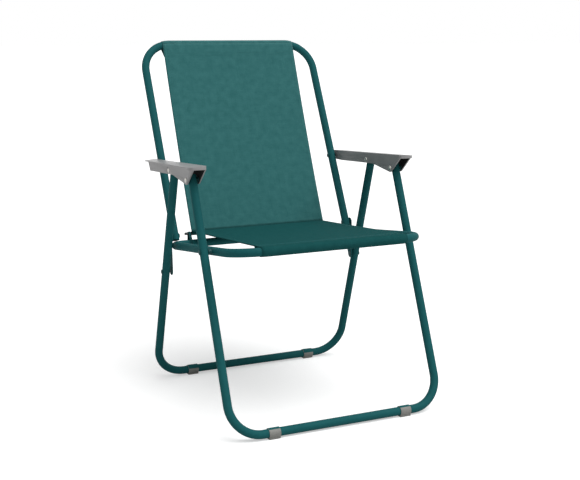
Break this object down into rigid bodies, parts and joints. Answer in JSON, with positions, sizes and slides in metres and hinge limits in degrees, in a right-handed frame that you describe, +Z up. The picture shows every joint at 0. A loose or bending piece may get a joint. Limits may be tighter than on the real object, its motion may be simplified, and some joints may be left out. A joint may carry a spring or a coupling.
{
  "type": "folding camp chair",
  "caption": "Folding tube-frame chair with a fabric sling seat and back, plastic channel armrests and a multi-bar fold.",
  "frame": {"origin": "on the floor, under the middle of the open chair's box", "axes": "+Z up, -Y the way the sitter faces, X across the chair (its mirror direction)"},
  "size_m": [0.524, 0.6162, 0.7808],
  "materials": {
    "frame_paint": "satin",
    "sling_fabric": "matt woven",
    "armrest_plastic": "satin moulded",
    "foot_plastic": "satin moulded",
    "plug_plastic": "satin moulded",
    "tie_webbing": "woven webbing",
    "rivet_steel": "zinc plated"
  },
  "bodies": {
    "back": {"back_frame": "frame_paint", "back_rivets": "rivet_steel", "plate_back_rivets": "rivet_steel", "back_end_plugs": "plug_plastic", "sling_back": "sling_fabric"},
    "armrests": {"armrest_right": "armrest_plastic", "armrest_left": "armrest_plastic", "front_leg_rivets": "rivet_steel", "rear_leg_rivets": "rivet_steel", "armrest_washers": "plug_plastic"},
    "front_legs": {"front_leg_frame": "frame_paint", "front_foot_right": "foot_plastic", "front_foot_left": "foot_plastic", "seat_leg_rivets": "rivet_steel", "front_leg_plugs": "plug_plastic"},
    "rear_legs": {"rear_leg_frame": "frame_paint", "rear_foot_right": "foot_plastic", "rear_foot_left": "foot_plastic", "plate_leg_rivets": "rivet_steel", "rear_leg_plugs": "plug_plastic"},
    "side_plates": {"side_plate_right": "frame_paint", "side_plate_left": "frame_paint", "plate_leg_bushes": "rivet_steel"},
    "seat": {"seat_frame": "frame_paint", "sling_seat": "sling_fabric", "crease_rod": "frame_paint", "crease_ties": "tie_webbing", "seat_rail_rivets": "rivet_steel", "plate_seat_rivets": "rivet_steel", "seat_tube_joiner": "rivet_steel"}
  },
  "joints": [
    {"name": "arm_fold", "type": "hinge", "parent": "back", "child": "armrests", "pos_m": [0, 0.1659, 0.505], "axis": [-1, 0, 0], "range_deg": [0, 105.5]},
    {"name": "front_leg_fold", "type": "hinge", "parent": "armrests", "child": "front_legs", "pos_m": [0, -0.0961, 0.502], "axis": [-1, 0, 0], "range_deg": [-102, 0]},
    {"name": "rear_leg_fold", "type": "hinge", "parent": "armrests", "child": "rear_legs", "pos_m": [0, 0.0119, 0.51], "axis": [-1, 0, 0], "range_deg": [-63, 0]},
    {"name": "plate_swing", "type": "hinge", "parent": "back", "child": "side_plates", "pos_m": [0, 0.0899, 0.352], "axis": [-1, 0, 0], "range_deg": [0, 188]},
    {"name": "seat_fold", "type": "hinge", "parent": "side_plates", "child": "seat", "pos_m": [0, 0.10497, 0.32776], "axis": [-1, 0, 0], "range_deg": [-86, 0]}
  ],
  "couplings": [
    {"joint": "front_leg_fold", "follows": "arm_fold", "ratio": -0.96019},
    {"joint": "rear_leg_fold", "follows": "arm_fold", "ratio": -0.59052},
    {"joint": "plate_swing", "follows": "arm_fold", "ratio": 1.7782},
    {"joint": "seat_fold", "follows": "arm_fold", "ratio": -0.81043}
  ]
}
